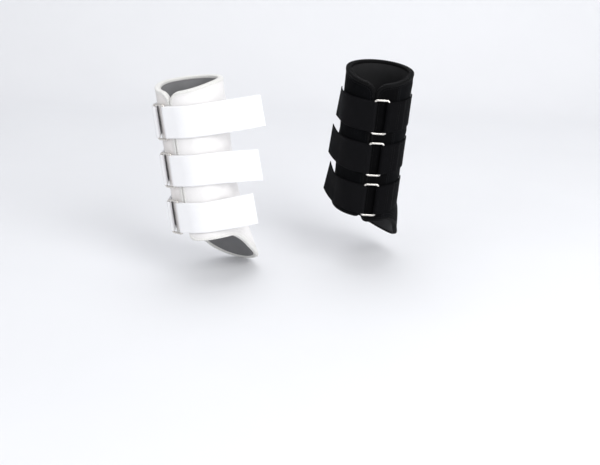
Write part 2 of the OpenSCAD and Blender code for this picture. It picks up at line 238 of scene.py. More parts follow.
def length_of(path):
    return np.linalg.norm(np.diff(path, axis=0), axis=1).sum()


def points_at(path, travel, at):
    """Points of a path at distances along it."""
    return np.stack([np.interp(at, travel, column) for column in path.T], -1)


class Boot:
    """One boot's own frame and outline, in millimetres: x straight ahead, y to the outer side, z up the leg.

    hand is 1 on the left leg and -1 on the right. Angles are degrees round the leg from straight ahead.
    Heights are from the middle ring: bottom and top are the edges beside the slit, tail is the guard tail's
    extra depth, low_rise is the lower edge's rise on the tab side and where it starts, and lining_end is
    where the leg's straight bore stops. leave is the angle at which each strap's free end leaves the shell,
    and ends is its straight length from there.
    """

    def __init__(self, name, hand, seed, ring_angle, ring_lift, slit, bottom, low_rise, top, top_rise, tail,
                 leave, ends, lining_end):
        self.name, self.hand, self.seed = name, hand, seed
        self.bottom, self.low_rise, self.tail = bottom, low_rise, tail
        self.top, self.top_rise = top, top_rise
        self.leave, self.ends, self.lining_end = leave, ends, lining_end
        mounts = {m["name"]: m for m in frame["record"]["mounts"]}
        joints = {j["name"]: j for j in frame["joints"]}
        self.origin = np.array(mounts[f"{name}_leg"]["pos_m"], float)
        self.up = unit(mounts[f"{name}_leg"]["axis"])
        bar_a = np.array(joints[f"{name}_strap_2_peel"]["pos_m"], float) - self.origin
        radial = unit(bar_a - self.up * (bar_a @ self.up))
        along = hand * np.cross(self.up, radial)
        turn = math.radians(ring_angle + BAR_A_ANGLE)
        self.x = math.cos(turn) * radial - math.sin(turn) * along
        self.y = math.sin(turn) * radial + math.cos(turn) * along
        self.heights = [
            (np.array(joints[f"{name}_ring_{n}_swing"]["pos_m"]) - self.origin) @ self.up / MM
            for n in (1, 2, 3)
        ]
        gap = math.degrees(SLIT_W / 2 / SHELL_R)
        self.lo, self.hi = slit + gap, slit + 360 - gap
        self.elastic = slit + 360 - ELASTIC_SPAN
        # The ring's rear bar carries the strap, and its front bar carries the tab: each a radius and an angle
        lift = math.radians(ring_lift)
        bar_a_x = math.sqrt(BAR_R**2 - (RING_REACH / 2) ** 2)
        bar_b = (bar_a_x + RING_REACH * math.sin(lift), RING_REACH / 2 - RING_REACH * math.cos(lift))
        self.bar_a = (BAR_R, ring_angle + BAR_A_ANGLE)
        self.bar_b = (math.hypot(*bar_b), ring_angle + math.degrees(math.atan2(bar_b[1], bar_b[0])))
        self.base_end = self.bar_a[1] + BASE_GAP + BASE_SPAN

    def row(self, points):
        """Points in the boot's own frame, in millimetres, as points in the row frame, in metres."""
        p = np.asarray(points, float) * MM
        return self.origin + p[..., :1] * self.x + p[..., 1:2] * self.y + p[..., 2:3] * self.up

    def spot(self, point, height):
        """One point of the boot's level plane, at a height, in the row frame."""
        return tuple(self.row([*point, height]))

    def body(self):
        return f"{self.name}_boot"

    def from_slit(self, a):
        """Distance round the shell from the slit."""
        return np.radians(np.minimum(a - self.lo, self.hi - a)) * SHELL_R

    def from_hem(self, a, z):
        """Height from the nearer of the lower and upper edges."""
        return np.minimum(z - self.z_low(a), self.z_top(a) - z)

    def corner_drop(self, a, r):
        d = np.clip(self.from_slit(a), 0, r)
        return r - np.sqrt(r**2 - (r - d) ** 2)

    def z_top(self, a):
        rise = smooth(np.minimum(a - self.lo, self.hi - a) / TOP_RISE_SPAN)
        return self.top + self.top_rise * rise - self.corner_drop(a, TOP_CORNER_R)

    def z_low(self, a):
        off = np.clip(np.abs(a - TAIL_MIDDLE) / TAIL_HALF, 0, 1)
        depth = self.tail * np.maximum(np.cos(off * math.pi / 2), 0) ** TAIL_POWER
        rise = self.low_rise[0] * smooth((a - self.hi + self.low_rise[1]) / LOW_RISE_SPAN)
        return rise - self.bottom - depth + self.corner_drop(a, LOW_CORNER_R)

    def flare(self, a, z):
        """How far the shell stands off its cylinder: the tail's flare, and the bell low down."""
        under = self.heights[2] - STRAP_W / 2
        flare = TAIL_FLARE * (np.maximum(-z - FLARE_START, 0) / FLARE_REACH) ** FLARE_POWER
        bell = BELL * (np.maximum(under - z, 0) / BELL_REACH) ** BELL_POWER
        return share(a, FLARE_MIDDLE, FLARE_HALF) * flare + share(a, BELL_MIDDLE, BELL_HALF) * bell

    def inner_r(self, a, z):
        """Radius of the lining's inner face: straight down the leg, out with the tail, thin at the hems."""
        end = -self.lining_end
        thick = SHELL_R - LEG_R + self.flare(a, np.maximum(z, end))
        thick = thick + (TAIL_T - thick) * smooth((end - z) / TAIL_TAPER)
        return self.outer_r(a, z) - thick + HEM_THIN * smooth(1 - self.from_hem(a, z) / HEM_TAPER)

    def outer_r(self, a, z):
        return SHELL_R + self.flare(a, z)


WHITE = Boot(
    "white", 1, seed=11, ring_angle=75, ring_lift=13, slit=96, bottom=93, low_rise=(11, 60), top=98,
    top_rise=7, tail=61, leave=(140, 140, 140), ends=(82, 71, 58), lining_end=80,
)
BLACK = Boot(
    "black", -1, seed=12, ring_angle=45, ring_lift=0, slit=57, bottom=84, low_rise=(-6, 93), top=97,
    top_rise=8, tail=60, leave=(130, 115, 115), ends=(11, 25, 25), lining_end=76,
)


# ---------------------------------------------------------------- materials
class Nodes:
    """Short ways to build a material's node tree."""

    def __init__(self, name):
        self.material = bpy.data.materials.new(name)
        self.material.use_nodes = True
        self.tree = self.material.node_tree
        self.shader = self.tree.nodes["Principled BSDF"]

    def add(self, kind, **settings):
        node = self.tree.nodes.new(kind)
        for key, value in settings.items():
            setattr(node, key, value)
        return node

    def put(self, socket, value):
        if isinstance(value, bpy.types.NodeSocket):
            self.tree.links.new(value, socket)
        else:
            socket.default_value = value

    def shade(self, socket, value):
        """Sets or links one of the shader's own sockets."""
        self.put(self.shader.inputs[socket], value)

    def math(self, operation, a, b=0.0, clamp=False):
        node = self.add("ShaderNodeMath", operation=operation, use_clamp=clamp)
        self.put(node.inputs[0], a)
        self.put(node.inputs[1], b)
        return node.outputs[0]

    def scaled(self, value, factor, offset):
        node = self.add("ShaderNodeMath", operation="MULTIPLY_ADD")
        for socket, given in zip(node.inputs, (value, factor, offset)):
            self.put(socket, given)
        return node.outputs[0]

    def past(self, value, start, steepness):
        """How far a value is past a start, as a share that stays between 0 and 1."""
        return self.math("MULTIPLY", self.math("SUBTRACT", value, start), steepness, clamp=True)

    def ridges(self, value, pitch):
        """Round ridges at a pitch in millimetres along a coordinate in metres."""
        return self.math("ABSOLUTE", self.math("SINE", self.math("MULTIPLY", value, math.pi / (pitch * MM))))

    def two(self, a, a_share, b, b_share):
        """Two heights added in the given shares."""
        return self.math("ADD", self.math("MULTIPLY", a, a_share), self.math("MULTIPLY", b, b_share))

    def mix(self, factor, a, b):
        node = self.add("ShaderNodeMix", data_type="RGBA")
        self.put(node.inputs["Factor"], factor)
        self.put(node.inputs["A"], a)
        self.put(node.inputs["B"], b)
        return node.outputs["Result"]

    def noise(self, vector, scale, detail, roughness=0.55):
        node = self.add("ShaderNodeTexNoise")
        self.put(node.inputs["Vector"], vector)
        node.inputs["Scale"].default_value = scale
        node.inputs["Detail"].default_value = detail
        node.inputs["Roughness"].default_value = roughness
        return node.outputs["Fac"]

    def cloth(self):
        """The piece's own cloth coordinates: along the strap or round the leg, and across, in metres."""
        attribute = self.add("ShaderNodeAttribute", attribute_name="cloth")
        split = self.add("ShaderNodeSeparateXYZ")
        self.put(split.inputs[0], attribute.outputs["Vector"])
        return attribute.outputs["Vector"], split.outputs["X"], split.outputs["Y"]

    def place(self):
        return self.add("ShaderNodeTexCoord").outputs["Object"]

    def bump(self, height, depth):
        """Relief of a depth in millimetres."""
        node = self.add("ShaderNodeBump")
        node.inputs["Strength"].default_value = 1.0
        node.inputs["Distance"].default_value = depth * MM
        self.put(node.inputs["Height"], height)
        self.shade("Normal", node.outputs["Normal"])


def tint(colour, factor):
    return (*(min(1.0, c * factor) for c in colour), 1.0)


def weave(n, u, v, pitch):
    """A plain weave's height, from 0.5 to 1.5: threads one way over threads the other way."""
    wave_u, wave_v = (
        n.math("SINE", n.math("MULTIPLY", w, math.tau / (2 * p * MM))) for w, p in zip((u, v), pitch)
    )
    return n.scaled(n.math("MULTIPLY", wave_u, wave_v), 0.5, 1.0)


def cloth_material(name, colour, pitch, depth, roughness, sheen, soil, fuzz_scale, gloss):
    """Woven cloth: threads, worn patches and fine fuzz, in one colour family."""
    n = Nodes(name)
    vector, u, v = n.cloth()
    threads = weave(n, u, v, pitch)
    patches = n.noise(vector, scale=45.0, detail=4.0)
    fuzz = n.noise(vector, scale=fuzz_scale, detail=2.0, roughness=0.7)
    base = n.mix(threads, tint(colour, 1 - soil * 1.6), tint(colour, 1 + soil * 0.6))
    worn = n.past(patches, start=0.42, steepness=2.2)
    n.shade("Base Color", n.mix(worn, base, tint(colour, 1 - soil)))
    n.shade("Roughness", n.scaled(patches, 0.18, roughness - 0.09))
    n.shade("Specular IOR Level", gloss)
    n.shade("Sheen Weight", sheen)
    n.shade("Sheen Roughness", 0.45)
    n.bump(n.two(threads, 0.75, fuzz, 0.25), depth)
    return n.material


def webbing_material(name, colour, sheen, roughness, gloss):
    """Woven tape: fine ribs across the tape, crossed by the long threads, with a soft brushed face."""
    n = Nodes(name)
    vector, u, v = n.cloth()
    nap = n.noise(vector, scale=2600.0, detail=2.0, roughness=0.75)
    patches = n.noise(vector, scale=60.0, detail=4.0)
    threads = n.two(n.ridges(u, 0.8), 0.6, n.ridges(v, 1.3), 0.4)
    base = n.mix(threads, tint(colour, 0.86), tint(colour, 1.04))
    brushed = n.past(patches, start=0.4, steepness=1.8)
    n.shade("Base Color", n.mix(brushed, base, tint(colour, 0.95)))
    n.shade("Roughness", n.scaled(patches, 0.2, roughness - 0.1))
    n.shade("Specular IOR Level", gloss)
    n.shade("Sheen Weight", sheen)
    n.shade("Sheen Roughness", 0.35)
    n.bump(n.two(threads, 0.6, nap, 0.4), 0.16)
    return n.material


def thread_material(name, colour, sheen, gloss):
    """Sewing thread: slanting strands."""
    n = Nodes(name)
    _, u, v = n.cloth()
    strands = n.ridges(n.math("ADD", u, v), 0.35)
    n.shade("Base Color", n.mix(strands, tint(colour, 0.82), tint(colour, 1.06)))
    n.shade("Roughness", 0.55)
    n.shade("Specular IOR Level", gloss)
    n.shade("Sheen Weight", sheen)
    n.bump(strands, 0.08)
    return n.material


def foam_material(name, colour=(0.3, 0.3, 0.3)):
    """Closed-cell foam."""
    n = Nodes(name)
    vector, _, _ = n.cloth()
    cells = n.add("ShaderNodeTexVoronoi")
    n.put(cells.inputs["Vector"], vector)
    cells.inputs["Scale"].default_value = 1400.0
    distance = cells.outputs["Distance"]
    n.shade("Base Color", n.mix(distance, tint(colour, 0.8), tint(colour, 1.1)))
    n.shade("Roughness", 0.9)
    n.bump(distance, 0.2)
    return n.material


def plate_material(name, colour=(0.2, 0.22, 0.24)):
    """Satin moulded plastic with a fine grain."""
    n = Nodes(name)
    grain = n.noise(n.place(), scale=900.0, detail=4.0)
    n.shade("Base Color", n.mix(grain, tint(colour, 0.85), tint(colour, 1.1)))
    n.shade("Roughness", 0.45)
    n.bump(grain, 0.08)
    return n.material


def metal_material(name):
    """Nickel-plated wire with a fine grain, dull spots and a few darker pits."""
    n = Nodes(name)
    place = n.place()
    dull = n.noise(place, scale=160.0, detail=5.0)
    fine = n.noise(place, scale=2500.0, detail=2.0)
    pits = n.past(n.noise(place, scale=420.0, detail=2.0), start=0.6, steepness=5.0)
    base = n.mix(dull, (0.6, 0.57, 0.53, 1), (0.78, 0.76, 0.73, 1))
    n.shade("Base Color", n.mix(pits, base, (0.36, 0.33, 0.29, 1)))
    n.shade("Metallic", 1.0)
    n.shade("Roughness", n.scaled(dull, 0.3, 0.12))
    n.bump(fine, 0.02)
    return n.material


def floor_material(name):
    n = Nodes(name)
    speck = n.noise(n.place(), scale=6.0, detail=3.0)
    n.shade("Base Color", n.mix(speck, (0.76, 0.765, 0.785, 1), (0.79, 0.795, 0.815, 1)))
    n.shade("Roughness", 0.7)
    return n.material


# Each cloth: colour, thread pitch and bump depth in mm, roughness, sheen, soil, fuzz scale and gloss
CLOTHS = {
    "white_shell": ((0.815, 0.8, 0.795), (0.7, 0.7), 0.1, 0.7, 0.2, 0.05, 1600.0, 0.3),
    "white_elastic": ((0.83, 0.8, 0.785), (0.5, 0.8), 0.14, 0.85, 0.3, 0.1, 1600.0, 0.3),
    "white_loop": ((0.86, 0.86, 0.86), (0.5, 0.5), 0.25, 0.95, 0.6, 0.05, 960.0, 0.3),
    "white_hook": ((0.8, 0.8, 0.81), (0.8, 0.8), 0.2, 0.5, 0.1, 0.08, 1600.0, 0.3),
    "white_lining": ((0.19, 0.19, 0.195), (1.1, 1.1), 0.1, 0.6, 0.12, 0.2, 1600.0, 0.3),
    "black_shell": ((0.0026, 0.0028, 0.0034), (0.7, 0.7), 0.1, 0.7, 0, 0.25, 1600.0, 0.03),
    "black_elastic": ((0.003, 0.003, 0.0034), (0.5, 0.8), 0.14, 0.85, 0, 0.25, 1600.0, 0.03),
    "black_loop": ((0.006, 0.006, 0.007), (0.5, 0.5), 0.25, 0.95, 0.01, 0.2, 960.0, 0.05),
    "black_hook": ((0.006, 0.006, 0.007), (0.8, 0.8), 0.2, 0.45, 0, 0.2, 1600.0, 0.1),
    "black_lining": ((0.018, 0.018, 0.019), (1.1, 1.1), 0.1, 0.6, 0.01, 0.2, 1600.0, 0.12),
}
# Each webbing: colour, sheen, roughness and gloss
WEBBINGS = {
    "white_webbing": ((0.87, 0.87, 0.885), 0.35, 0.72, 0.3),
    "white_tab": ((0.87, 0.87, 0.885), 0.35, 0.72, 0.3),
    "black_webbing": ((0.0048, 0.0048, 0.0056), 0.006, 0.66, 0.045),
    # black_tab is the black webbing again, painted darker and less glossy: painted shade on the tabs, not a
    # different tape
    "black_tab": ((0.003, 0.003, 0.0036), 0.003, 0.68, 0.028),
}
# Each thread: colour, sheen and gloss
THREADS = {
    "white_binding": ((0.8, 0.79, 0.765), 0.3, 0.3),
    "white_thread": ((0.74, 0.725, 0.7), 0.3, 0.3),
    "black_binding": ((0.0034, 0.0034, 0.0038), 0.003, 0.06),
    "black_thread": ((0.009, 0.009, 0.01), 0.01, 0.1),
}
MATERIALS = {
    **{name: cloth_material(name, *look) for name, look in CLOTHS.items()},
    **{name: webbing_material(name, *look) for name, look in WEBBINGS.items()},
    **{name: thread_material(name, *look) for name, look in THREADS.items()},
    "foam": foam_material("foam"),
    "plate": plate_material("plate"),
    "ring_wire": metal_material("ring_wire"),
}


# ---------------------------------------------------------------- meshes
def make_piece(boot, name, points, faces, look, cloth, body):
    """A mesh from points in the boot's own frame, with its look and cloth coordinates, riding any body."""
    mesh = bpy.data.meshes.new(f"{boot.name}_{name}")
    if boot.hand < 0:
        faces = [tuple(reversed(f)) for f in faces]
    mesh.from_pydata(boot.row(points).tolist(), [], faces)
    mesh.validate()
    mesh.materials.append(MATERIALS[look])
    attribute = mesh.attributes.new("cloth", "FLOAT_VECTOR", "POINT")
    values = np.zeros((len(points), 3), np.float32)
    values[:, :2] = np.asarray(cloth, float) * MM
    attribute.data.foreach_set("vector", values.ravel())
    mesh.shade_smooth()
    piece = bpy.data.objects.new(mesh.name, mesh)
    bpy.context.scene.collection.objects.link(piece)
    if body:
        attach(piece, body)
    return piece


def grid_faces(rows, cols, start=0, flip=False):
    """Quads of a grid whose points run along each row in turn."""
    faces = []
    for i in range(rows - 1):
        for k in range(cols - 1):
            a, b = start + i * cols + k, start + (i + 1) * cols + k
            faces.append((a, a + 1, b + 1, b) if flip else (a, b, b + 1, a + 1))
    return faces


def slab_faces(rows, cols, first=0):
    """Faces of a closed slab: an outer grid, an inner grid straight after it, and the rim between them."""
    far = rows * cols
    faces = grid_faces(rows, cols, first) + grid_faces(rows, cols, first + far, flip=True)
    rim = [i * cols for i in range(rows)] + [(rows - 1) * cols + k for k in range(1, cols)]
    rim += [i * cols + cols - 1 for i in range(rows - 2, -1, -1)] + list(range(cols - 2, 0, -1))
    for p, q in zip(rim, rim[1:] + rim[:1]):
        faces.append((first + q, first + p, first + p + far, first + q + far))
    return faces


def tube_faces(rings, sides):
    """Faces of a tube of rings with a cap at both ends."""
    faces = []
    for i in range(rings - 1):
        here, ahead = i * sides, (i + 1) * sides
        for k in range(sides):
            m = (k + 1) % sides
            faces.append((here + k, ahead + k, ahead + m, here + m))
    return faces + [tuple(range(sides)), tuple((rings - 1) * sides + k for k in reversed(range(sides)))]


# ---------------------------------------------------------------- the shell
def shell_grid(boot, a0, a1, step, inset):
    """Angles and heights over the shell's pattern, closer together near its lower and upper edges."""
    angles = np.linspace(a0, a1, max(3, int(round((a1 - a0) / step))) + 1)
    low, top = boot.z_low(angles)[:, None] + inset, boot.z_top(angles)[:, None] - inset
    near = np.linspace(0, LOW_BAND, FINE_ROWS)[None, :-1]
    between = (top - low - (LOW_BAND + TOP_BAND)) * np.linspace(0, 1, COARSE_ROWS)[None, :]
    upper = top - TOP_BAND + near[:, 1::2] * (TOP_BAND / LOW_BAND)
    heights = np.concatenate([low + near, low + LOW_BAND + between, upper], 1)
    return angles[:, None] + 0 * heights, heights


def wall(boot, name, a, z, r_out, r_in, look):
    """A closed piece of the shell between two radii, on a grid of angles by heights."""
    layers = [round_leg(r, a, z).reshape(-1, 3) for r in (r_out, r_in)]
    cloth = np.stack([np.radians(a) * SHELL_R, z], -1).reshape(-1, 2)
    return make_piece(boot, name, np.concatenate(layers), slab_faces(*a.shape), look,
                      np.concatenate([cloth, cloth]), boot.body())


def pressed(boot, a, z):
    """How firmly webbing or a sewn edge holds the cover down, from 0 to 1."""
    hold = smooth(1 - (boot.from_hem(a, z) - HEM_HOLD) / HEM_EASE)
    for leave, height in zip(boot.leave, boot.heights):
        under = smooth(1 - (np.abs(z - height) - STRAP_W / 2) / WEB_EASE)
        strap = smooth((leave + LEAVE_PAST - a) / LEAVE_EASE)
        tab = smooth((a - (TAB_END + 360 - TAB_EASE)) / TAB_EASE)
        hold = np.maximum(hold, under * np.maximum(strap, tab))
    return np.maximum(hold, smooth(1 - (boot.from_slit(a) - SLIT_HOLD) / SLIT_EASE))


def pinned_sheet(boot, points, shape, hold):
    """A sheet of cloth on a grid of points, pinned as firmly as it is held."""
    faces = grid_faces(*shape)
    if boot.hand < 0:
        faces = [tuple(reversed(f)) for f in faces]
    mesh = bpy.data.meshes.new("cloth_pass")
    mesh.from_pydata(boot.row(points).tolist(), [], faces)
    sheet = bpy.data.objects.new("cloth_pass", mesh)
    bpy.context.scene.collection.objects.link(sheet)
    pins = sheet.vertex_groups.new(name=CLOTH_SETTINGS["vertex_group_mass"])
    for i, weight in enumerate(hold.ravel()):
        pins.add([i], float(weight), "REPLACE")
    modifier = sheet.modifiers.new("Cloth", "CLOTH")
    for key, value in CLOTH_SETTINGS.items():
        setattr(modifier.settings, key, value)
    modifier.settings.effector_weights.gravity = 0
    modifier.collision_settings.use_collision = False
    modifier.point_cache.frame_end = CLOTH_FRAMES
    return sheet


def simulated_reach(boot, sheet, shape):
    """Distances from the leg's axis after the simulation. The sheet is removed."""
    scene = bpy.context.scene
    for number in range(1, CLOTH_FRAMES + 1):
        scene.frame_set(number)
    posed = sheet.evaluated_get(bpy.context.evaluated_depsgraph_get()).to_mesh()
    moved = np.zeros(len(posed.vertices) * 3)
    posed.vertices.foreach_get("co", moved)
    offset = (moved.reshape(-1, 3) - boot.origin) / MM
    scene.frame_set(1)
    bpy.data.objects.remove(sheet)
    return np.hypot(offset @ boot.x, offset @ boot.y).reshape(shape)


def puffed_cover(boot, a, z):
    """The cover's outward swell in mm: cloth under pressure, held along its edges and under the webbing."""
    radius = boot.outer_r(a, z)
    hold = pressed(boot, a, z)
    crease = CREASE * waves(np.radians(a) * SHELL_R, z * 0.5, boot.seed)
    start = radius + (1 - hold) * crease * 0.6
    sheet = pinned_sheet(boot, round_leg(start, a, z).reshape(-1, 3), a.shape, hold)
    swell = simulated_reach(boot, sheet, a.shape) - radius
    swell = SWELL_CAP * np.tanh(swell / SWELL_CAP)
    for _ in range(2):
        inner = (swell[:-2, 1:-1] + swell[2:, 1:-1] + swell[1:-1, :-2] + swell[1:-1, 2:]) / 4
        swell[1:-1, 1:-1] = 0.5 * swell[1:-1, 1:-1] + 0.5 * inner
    return np.maximum(swell, 0) * (1 - hold)


def build_shell(boot):
    """The cover, elastic panel, lining, foam core and strike plate. Returns the cover's grid and swell."""
    name = boot.name
    side = math.degrees(EDGE_INSET / SHELL_R)
    cover_a, cover_z = shell_grid(boot, boot.lo + side, boot.elastic, 2.2, EDGE_INSET)
    swell = puffed_cover(boot, cover_a, cover_z)
    outer = boot.outer_r(cover_a, cover_z)
    cover = wall(boot, "outer_cloth", cover_a, cover_z, outer + swell, outer - COVER_T, f"{name}_shell")
    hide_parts(f"{name}_cover")

    a, z = shell_grid(boot, boot.elastic, boot.hi - side, 0.28, EDGE_INSET)
    ribs = RIB_H * np.abs(np.sin(math.pi * np.radians(a) * SHELL_R / RIB_PITCH)) ** RIB_POWER
    outer = boot.outer_r(a, z)
    elastic = wall(boot, "elastic_cloth", a, z, outer - RIB_SINK + ribs, outer - COVER_T, f"{name}_elastic")
    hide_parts(f"{name}_elastic_panel")

    a, z = shell_grid(boot, boot.lo + side, boot.hi - side, 3.0, EDGE_INSET)
    inner = boot.inner_r(a, z)
    lining = wall(boot, "inner_cloth", a, z, inner + LINING_T, inner, f"{name}_lining")
    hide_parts(f"{name}_lining")

    a, z = shell_grid(boot, boot.lo + 2 * side, boot.hi - 2 * side, 3.0, 2 * EDGE_INSET)
    at_plate = smooth((a - PLATE_FROM + 2) / 2) * smooth((PLATE_TO + 2 - a) / 2)
    inner = boot.inner_r(a, z) + LINING_T + LAYER_GAP
    outer = boot.outer_r(a, z) - COVER_T - LAYER_GAP - at_plate * (PLATE_T + LAYER_GAP)
    foam = wall(boot, "foam_core", a, z, np.maximum(outer, inner + 2 * LAYER_GAP), inner, "foam")
    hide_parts(*(f"{name}_{part}_foam" for part in ("rear", "medial", "front")))

    a, z = shell_grid(boot, PLATE_FROM, PLATE_TO, 3.0, PLATE_INSET)
    outer = boot.outer_r(a, z) - COVER_T - LAYER_GAP / 2
    plate = wall(boot, "guard_plate", a, z, outer, outer - PLATE_T, "plate")
    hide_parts(f"{name}_strike_plate")
    return cover_a[:, 0], cover_z, swell


def surface_r(boot, cover, a, z):
    """Radius of the cover's outer face at each angle and height."""
    angles, heights, swell = cover
    out = []
    for angle, height in zip(a, z):
        radius = float(boot.outer_r(np.array(angle), np.array(height)))
        if angles[0] <= angle <= angles[-1]:
            place = (angle - angles[0]) / (angles[1] - angles[0])
            i = min(int(place), len(angles) - 2)
            near = np.interp(height, heights[i], swell[i])
            far = np.interp(height, heights[i + 1], swell[i + 1])
            radius += near + (far - near) * (place - i)
        out.append(radius)
    return np.array(out)


def outline(boot, inset):
    """The shell's closed outline, evenly spaced and a distance inside its edge.

    Returns the angles, the heights, the distances along the outline, and its inward directions.
    """
    corner = 12
    a = np.concatenate([
        np.linspace(boot.lo, boot.lo + corner, 40)[:-1],
        np.linspace(boot.lo + corner, boot.hi - corner, 300),
        np.linspace(boot.hi - corner, boot.hi, 40)[1:],
    ])
    up = np.stack([np.radians(a) * SHELL_R, boot.z_top(a)], -1)
    down = np.stack([np.radians(a) * SHELL_R, boot.z_low(a)], -1)[::-1]
    loop = np.concatenate([up, down, up[:1]])
    travel = travel_along(loop)
    count = int(travel[-1] / 0.6)
    at = np.arange(count) * travel[-1] / count
    points = points_at(loop, travel, at)
    for _ in range(3):
        points = (np.roll(points, 1, 0) + 2 * points + np.roll(points, -1, 0)) / 4
    tangent = unit(np.roll(points, -3, 0) - np.roll(points, 3, 0))
    inward = np.stack([tangent[:, 1], -tangent[:, 0]], -1)
    moved = points + inward * inset
    return np.degrees(moved[:, 0] / SHELL_R), moved[:, 1], at, inward


def build_binding(boot):
    """The overlocked edge: a soft rolled strip round the whole shell, with the ridges of its threads."""
    angles, heights, at, inward = outline(boot, 0.0)
    points, cloth = [], []
    for turn in np.arange(BINDING_SIDES) / BINDING_SIDES * math.tau:
        across, out = math.cos(turn), math.sin(turn)
        blunt = (abs(across) ** 4 + abs(out) ** 4) ** -0.25
        ridge = RIDGE_H * np.abs(np.sin(math.pi * (at / RIDGE_PITCH + turn / math.tau * RIDGE_SLANT)))
        depth = BINDING_MIDDLE - across * blunt * (BINDING_HALF + ridge)
        a = angles + np.degrees(inward[:, 0] * depth / SHELL_R)
        z = heights + inward[:, 1] * depth
        clear = np.clip(a, boot.lo + BINDING_CLEAR, boot.hi - BINDING_CLEAR)
        inner, outer = boot.inner_r(clear, z), boot.outer_r(clear, z)
        half = (outer - inner) / 2 + BINDING_PUFF + ridge * RIDGE_OUT
        r = (inner + outer) / 2 + BINDING_LIFT + out * blunt * half
        points.append(round_leg(r, np.clip(a, boot.lo - BINDING_OVER, boot.hi + BINDING_OVER), z))
        # The pattern runs down both faces from the edge, so that it has no jump where the turn closes
        cloth.append(np.stack([at, 0 * at + abs(turn - math.pi) * THREAD_TURN], -1))
    faces = []
    for i in range(len(at)):
        here, ahead = i * BINDING_SIDES, (i + 1) % len(at) * BINDING_SIDES
        for k in range(BINDING_SIDES):
            m = (k + 1) % BINDING_SIDES
            faces.append((here + k, here + m, ahead + m, ahead + k))
    binding = make_piece(boot, "overlocked_edge", np.stack(points, 1).reshape(-1, 3), faces,
                         f"{boot.name}_binding", np.stack(cloth, 1).reshape(-1, 2),
                         boot.body())
    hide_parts(f"{boot.name}_edge_binding")


# ---------------------------------------------------------------- webbing
def polar(r, degrees):
    """Points in a boot's level plane."""
    t = np.radians(degrees)
    return np.stack([r * np.cos(t), r * np.sin(t)], -1)


def arc(r, a0, a1):
    return polar(r, np.linspace(a0, a1, max(2, int(abs(a1 - a0) / 1.2)) + 1))


def wrap(bar, a0, a1):
    """Points round a ring bar, from one angle to another about the bar's own centre."""
    return polar(*bar) + polar(FOLD_R, np.linspace(a0, a1, FOLD_POINTS))


def evenly(path):
    """The path again with evenly spaced points, softened a little, and the distances along it."""
    travel = travel_along(path)
    keep = np.concatenate([[True], np.diff(travel) > 1e-6])
    at = np.linspace(0, travel[-1], max(4, int(travel[-1] / RIBBON_STEP)) + 1)
    points = points_at(path[keep], travel[keep], at)
    for _ in range(3):
        points[1:-1] = (points[:-2] + 2 * points[1:-1] + points[2:]) / 4
    return points, at


def flat_run(at):
    """No bow, twist or drift anywhere along a ribbon."""
    return 0 * at, 0 * at, 0 * at


def ribbon_section(width, thick):
    """A ribbon's section, as (across, out) points: round selvedges, and a thread-thick bead beside each."""
    across = np.linspace(-1, 1, SECTION_POINTS)
    across = np.sign(across) * (1 - (1 - np.abs(across)) ** SECTION_CROWD)
    half = width / 2
    bead = BEAD_T * np.exp(-(((np.abs(across) - BEAD_AT) / BEAD_WIDTH) ** 2))
    in_selvedge = np.maximum(np.abs(across) * half - (half - thick / 2), 0)
    face = thick / 2 * np.sqrt(np.clip(1 - in_selvedge**2 / (thick / 2) ** 2, 0, 1)) + bead
    top, under = np.stack([across * half, face], -1), np.stack([across * half, -face], -1)
    return np.concatenate([top, under[::-1]])


def ribbon(boot, name, path, height, look, body, width=STRAP_W, thick=STRAP_T, shape=flat_run,
           offset=0.0):
    """Webbing along a path in the boot's level plane. shape gives its bow, twist and drift along it."""
    points, at = evenly(path)
    tangent = unit(np.gradient(points, axis=0))
    normal = np.stack([tangent[:, 1], -tangent[:, 0]], -1)
    w, t = ribbon_section(width, thick).T
    s = at[:, None] + 0 * w
    across = w[None, :] + 0 * s
    bow, twist, drift = (v[:, None] for v in shape(at))
    ease = smooth(at / RIPPLE_EASE) * smooth((at[-1] - at) / RIPPLE_EASE + 0.4)
    ripple = RIPPLE * waves(s, across, 21 + int(abs(height))) * ease[:, None]
    out = t[None, :] + offset + ripple
    xy = points[:, None, :] + normal[:, None, :] * (bow + out * np.cos(twist) - w * np.sin(twist))[..., None]
    z = height + drift + w * np.cos(twist) + out * np.sin(twist)
    local = np.concatenate([xy, z[..., None]], -1).reshape(-1, 3)
    cloth = np.stack([s.ravel(), across.ravel()], -1)
    return make_piece(boot, name, local, tube_faces(len(at), len(w)), look, cloth, body)


def tangent_angle(bar, reach):
    """Angle between a bar and the point where a line touches the leg's circle of that radius."""
    return math.degrees(math.acos(min(1.0, reach / bar[0])))


def strap_path(boot, n):
    """A strap's sewn base and its free part, which meet in the fold round the ring's rear bar.

    Returns both paths, and the point where the free part first lies on the shell.
    """
    bar, leave = boot.bar_a, boot.leave[n - 1]
    under = tangent_angle(bar, WEB_R + FOLD_R)
    over = tangent_angle(bar, TAIL_R - FOLD_R)
    base = arc(WEB_R, boot.base_end, bar[1] + under)
    fold = wrap(bar, bar[1] + under - 180, bar[1] + over)
    lay = arc(TAIL_R, bar[1] + over, leave)
    tip = lay[-1] + boot.ends[n - 1] * polar(1.0, leave + 90)
    sewn = np.concatenate([base, fold[:FOLD_JOIN + 1]])
    free = np.concatenate([fold[FOLD_JOIN:], lay, [tip]])
    return sewn, free, lay[0]


def free_end_shape(boot, n, at):
    """Along the strap: how far its free end bows outwards, how far it twists, and how far it drifts up."""
    _, free, _ = strap_path(boot, n)
    end = boot.ends[n - 1]
    along = np.clip((at - (length_of(free) - end)) / end, 0, 1)
    bow, twist, drift = FREE_ENDS[boot.name][n - 1]
    return bow * np.sin(along * math.pi * 0.75), math.radians(twist) * along**1.3, drift * along**1.5


